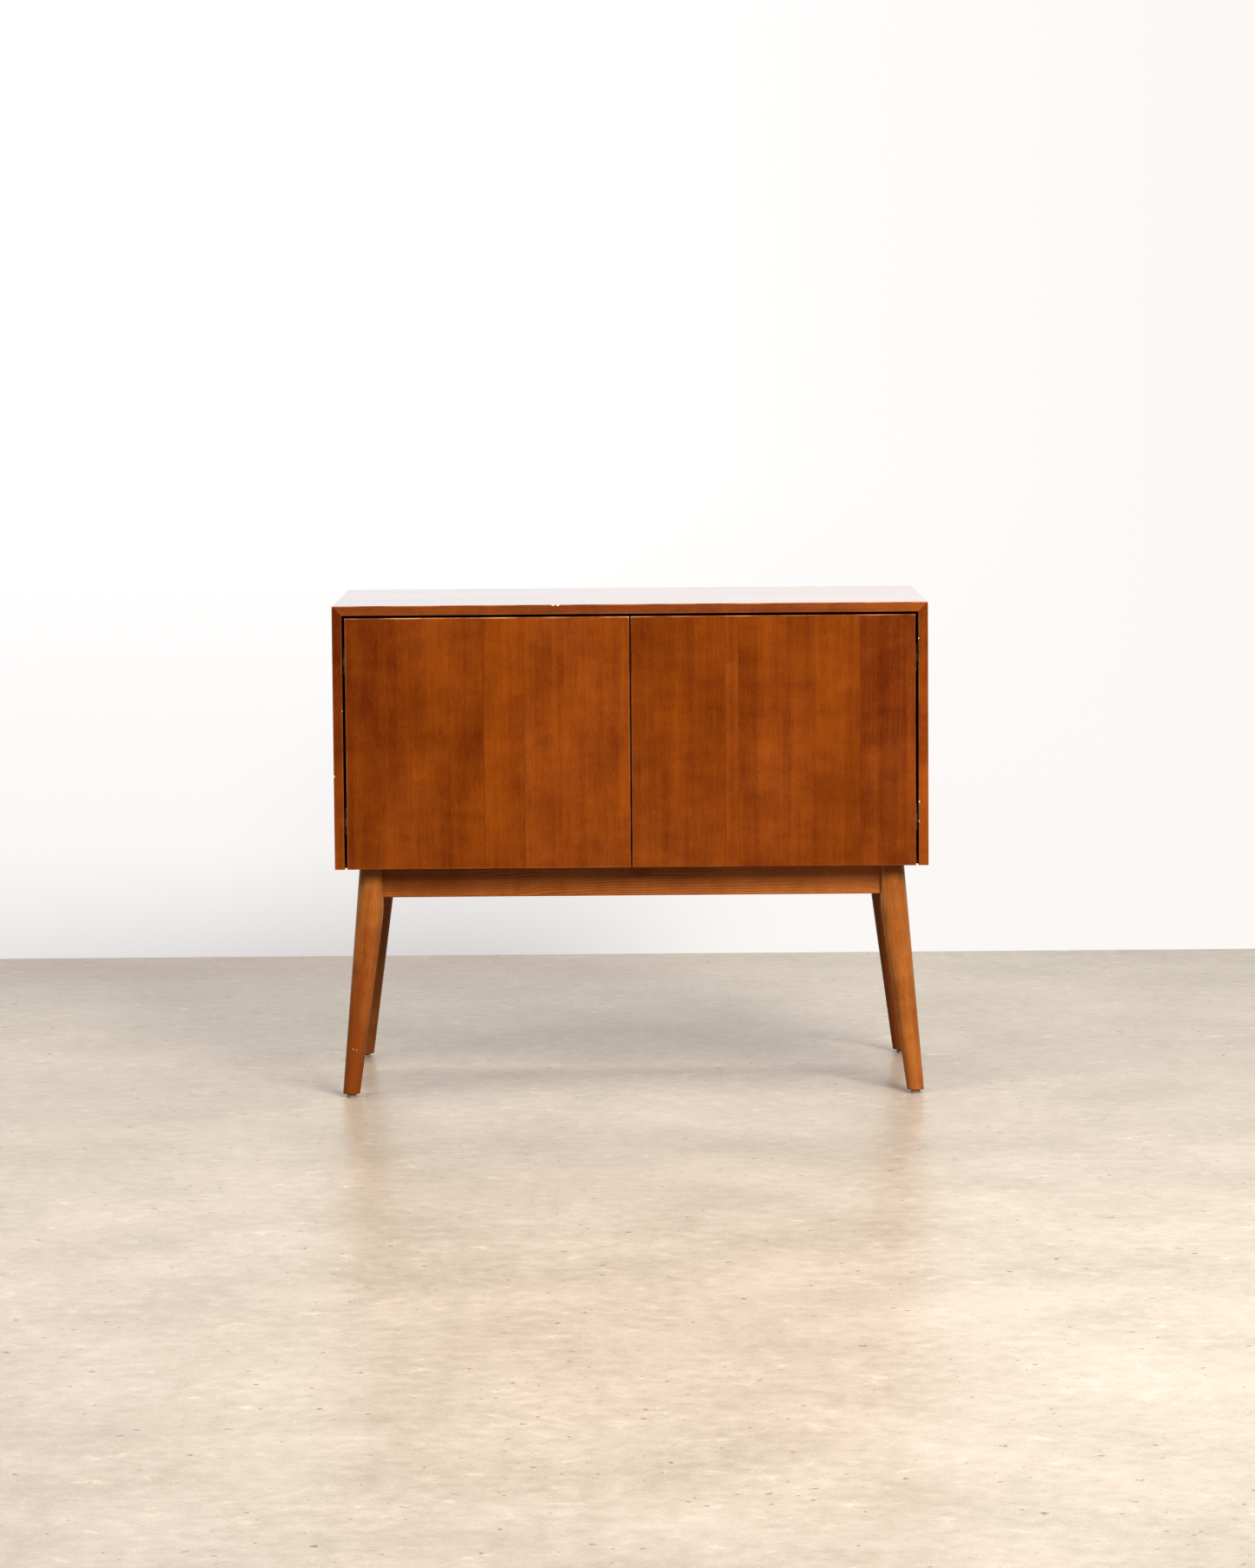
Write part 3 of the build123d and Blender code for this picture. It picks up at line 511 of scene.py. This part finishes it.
def make_world():
    """A soft white studio.  Its backdrop is white, and its light comes mostly from overhead."""
    world = bpy.data.worlds.new("studio")
    world.use_nodes = True
    tree = world.node_tree
    direction = tree.nodes.new("ShaderNodeTexCoord")
    split = tree.nodes.new("ShaderNodeSeparateXYZ")
    tree.links.new(direction.outputs["Generated"], split.inputs[0])
    overhead = tree.nodes.new("ShaderNodeMapRange")
    overhead.inputs["From Min"].default_value = 0.35
    overhead.inputs["To Min"].default_value = 0.22
    overhead.inputs["To Max"].default_value = 2.1
    tree.links.new(split.outputs["Z"], overhead.inputs["Value"])
    ray = tree.nodes.new("ShaderNodeLightPath")
    sides = tree.nodes.new("ShaderNodeMath")
    sides.operation = "MULTIPLY_ADD"
    tree.links.new(ray.outputs["Is Glossy Ray"], sides.inputs[0])
    sides.inputs[1].default_value = 0.22
    tree.links.new(overhead.outputs["Result"], sides.inputs[2])
    strength = tree.nodes.new("ShaderNodeMix")
    tree.links.new(ray.outputs["Is Camera Ray"], strength.inputs["Factor"])
    tree.links.new(sides.outputs[0], strength.inputs[2])
    strength.inputs[3].default_value = 0.95
    background = tree.nodes["Background"]
    background.inputs["Color"].default_value = (1.0, 0.985, 0.97, 1.0)
    tree.links.new(strength.outputs[0], background.inputs["Strength"])
    scene.world = world


def stage_plane(name, corners, material):
    mesh = bpy.data.meshes.new(name)
    mesh.from_pydata(corners, [], [(0, 1, 2, 3)])
    mesh.materials.append(material)
    plane = bpy.data.objects.new(name, mesh)
    scene.collection.objects.link(plane)


def make_wall():
    """A glowing white wall behind the sideboard, dimmer low on the left and clear from its far side."""
    tree = Tree("wall_white")
    tree.nodes.remove(tree.shader)
    place = tree.place()
    height = tree.axes(place)[2]
    across = tree.axes(place)[0]
    ray = tree.add("ShaderNodeLightPath")
    camera = ray.outputs["Is Camera Ray"]

    cast = tree.mix(tree.ramp(across, -1.2, 1.4), (1.0, 0.998, 0.998, 1.0), (1.0, 0.975, 0.95, 1.0))
    cast = tree.mix(ray.outputs["Is Glossy Ray"], cast, (0.9, 0.97, 1.0, 1.0))
    left = tree.mix(tree.ramp(height, 0.15, 0.9), (0.965, 0.94, 0.93, 1.0), (1.02, 1.02, 1.02, 1.0))
    seen = tree.mix(tree.ramp(across, -0.1, 1.0), left, (0.985, 0.952, 0.93, 1.0))
    colour = tree.mix(camera, cast, seen)

    offset = tree.distance(place, (-0.3, WALL_Y, 0.1))
    shade = tree.ramp(offset, 0.1, 0.55, 0.95, 1.0, smooth=True)
    low = tree.math("POWER", tree.ramp(height, 0.22, 0.0), 1.5)
    dim = tree.math("MULTIPLY", tree.ramp(across, 0.3, -0.35, 0.0, 0.19, smooth=True),
                    tree.ramp(across, -1.6, -0.7, 0.4, 1.0))
    shade = tree.math("MULTIPLY", shade, tree.math("SUBTRACT", 1.0, tree.math("MULTIPLY", low, dim)))
    strength = tree.math("MULTIPLY_ADD", ray.outputs["Is Glossy Ray"], 0.72, 0.45)
    strength = tree.math("ADD", tree.math("MULTIPLY", camera, shade),
                         tree.math("MULTIPLY", tree.math("SUBTRACT", 1.0, camera), strength))
    glow = tree.add("ShaderNodeEmission")
    tree.feed(glow.inputs["Color"], colour)
    tree.feed(glow.inputs["Strength"], strength)
    clear = tree.add("ShaderNodeBsdfTransparent")
    side = tree.add("ShaderNodeNewGeometry")
    choice = tree.add("ShaderNodeMixShader")
    tree.links.new(side.outputs["Backfacing"], choice.inputs[0])
    tree.links.new(glow.outputs[0], choice.inputs[1])
    tree.links.new(clear.outputs[0], choice.inputs[2])
    tree.links.new(choice.outputs[0], tree.nodes["Material Output"].inputs["Surface"])
    half, top = 7.0, 5.0
    corners = [(-half, WALL_Y, 0), (half, WALL_Y, 0), (half, WALL_Y, top), (-half, WALL_Y, top)]
    stage_plane("wall", corners, tree.material)


def make_floor():
    """Pale polished concrete: cloudy patches, a sandy mottle, dark specks and pale scuffs.

    It is darker along the wall on the left, and paler under the sideboard, where a painted pool of light
    lightens the sideboard's shadow."""
    tree = Tree("floor_concrete")
    place = tree.place()
    clouds = tree.noise(place, scale=1.1, detail=3.0)
    patches = tree.noise(place, scale=4.5, detail=4.0, rough=0.55)
    mottle = tree.noise(place, scale=34, detail=5.0, rough=0.75)
    sand = tree.noise(place, scale=240, detail=2.0)
    specks = tree.ramp(tree.noise(place, scale=62, detail=3.0), 0.68, 0.72)
    scuffs = tree.ramp(tree.noise(place, scale=17, detail=6.0, rough=0.75), 0.60, 0.70)
    value = tree.sum(0.5, (clouds, 0.5), (patches, 1.3), (mottle, 2.0), (sand, 0.8))
    colour = tree.mix(value, srgb(157, 146, 131), srgb(181, 170, 158))
    colour = tree.mix(tree.math("MULTIPLY", specks, 0.7), colour, srgb(104, 88, 74))
    colour = tree.mix(tree.math("MULTIPLY", scuffs, 0.4), colour, srgb(206, 195, 180))

    along = tree.axes(place)[1]
    # Darker along the wall, towards the left.
    darker_by_wall = tree.math("MULTIPLY", tree.ramp(along, 1.0, 1.35), tree.ramp(tree.axes(place)[0], 0.35, -0.1))
    colour = tree.mix(darker_by_wall, colour, (0.9, 0.84, 0.83, 1.0), blend="MULTIPLY")
    # Painted light: a paler oval pool on the floor under the sideboard, lightening its shadow.
    oval = tree.scaled(place, (1.18, 1.5, 0.0))
    painted_light_pool = tree.ramp(tree.distance(oval, (0.0, -0.2, 0.0)), 1.0, 0.0, 1.0, 1.36, smooth=True)
    colour = tree.mix(1.0, colour, painted_light_pool, blend="MULTIPLY")
    bounce = tree.add("ShaderNodeLightPath").outputs["Is Diffuse Ray"]
    colour = tree.mix(tree.math("MULTIPLY", bounce, 0.3), colour, (0.0, 0.0, 0.0, 1.0))
    tree.feed(tree.shader.inputs["Base Color"], colour)
    tree.feed(tree.shader.inputs["Roughness"], tree.sum(0.34, (patches, 0.08), (mottle, 0.08)))
    tree.shader.inputs["Specular IOR Level"].default_value = 0.12
    half = 14.0
    corners = [(-half, -half, 0), (half, -half, 0), (half, half, 0), (-half, half, 0)]
    stage_plane("floor", corners, tree.material)


def make_lights():
    warm_white = (1.0, 0.97, 0.94)
    middle = (0, 0, 0.45)
    area_light("key_right", (1.75, -3.8, 3.0), middle, (1.9, 1.9), 124, warm_white, 125)
    area_light("key_left", (-3.3, -3.0, 3.0), middle, (1.1, 1.1), 18, warm_white, 125)
    area_light("back_fill", (0, 1.3, 2.6), (0, 0.4, 0), (2.4, 0.6), 42, (1.0, 0.98, 0.96))


finish_case()
finish_doors()
finish_rails()
finish_legs()
finish_fittings()
make_camera()
make_world()
make_wall()
make_floor()
make_lights()
scene.view_settings.view_transform = "Standard"
scene.view_settings.gamma = GAMMA
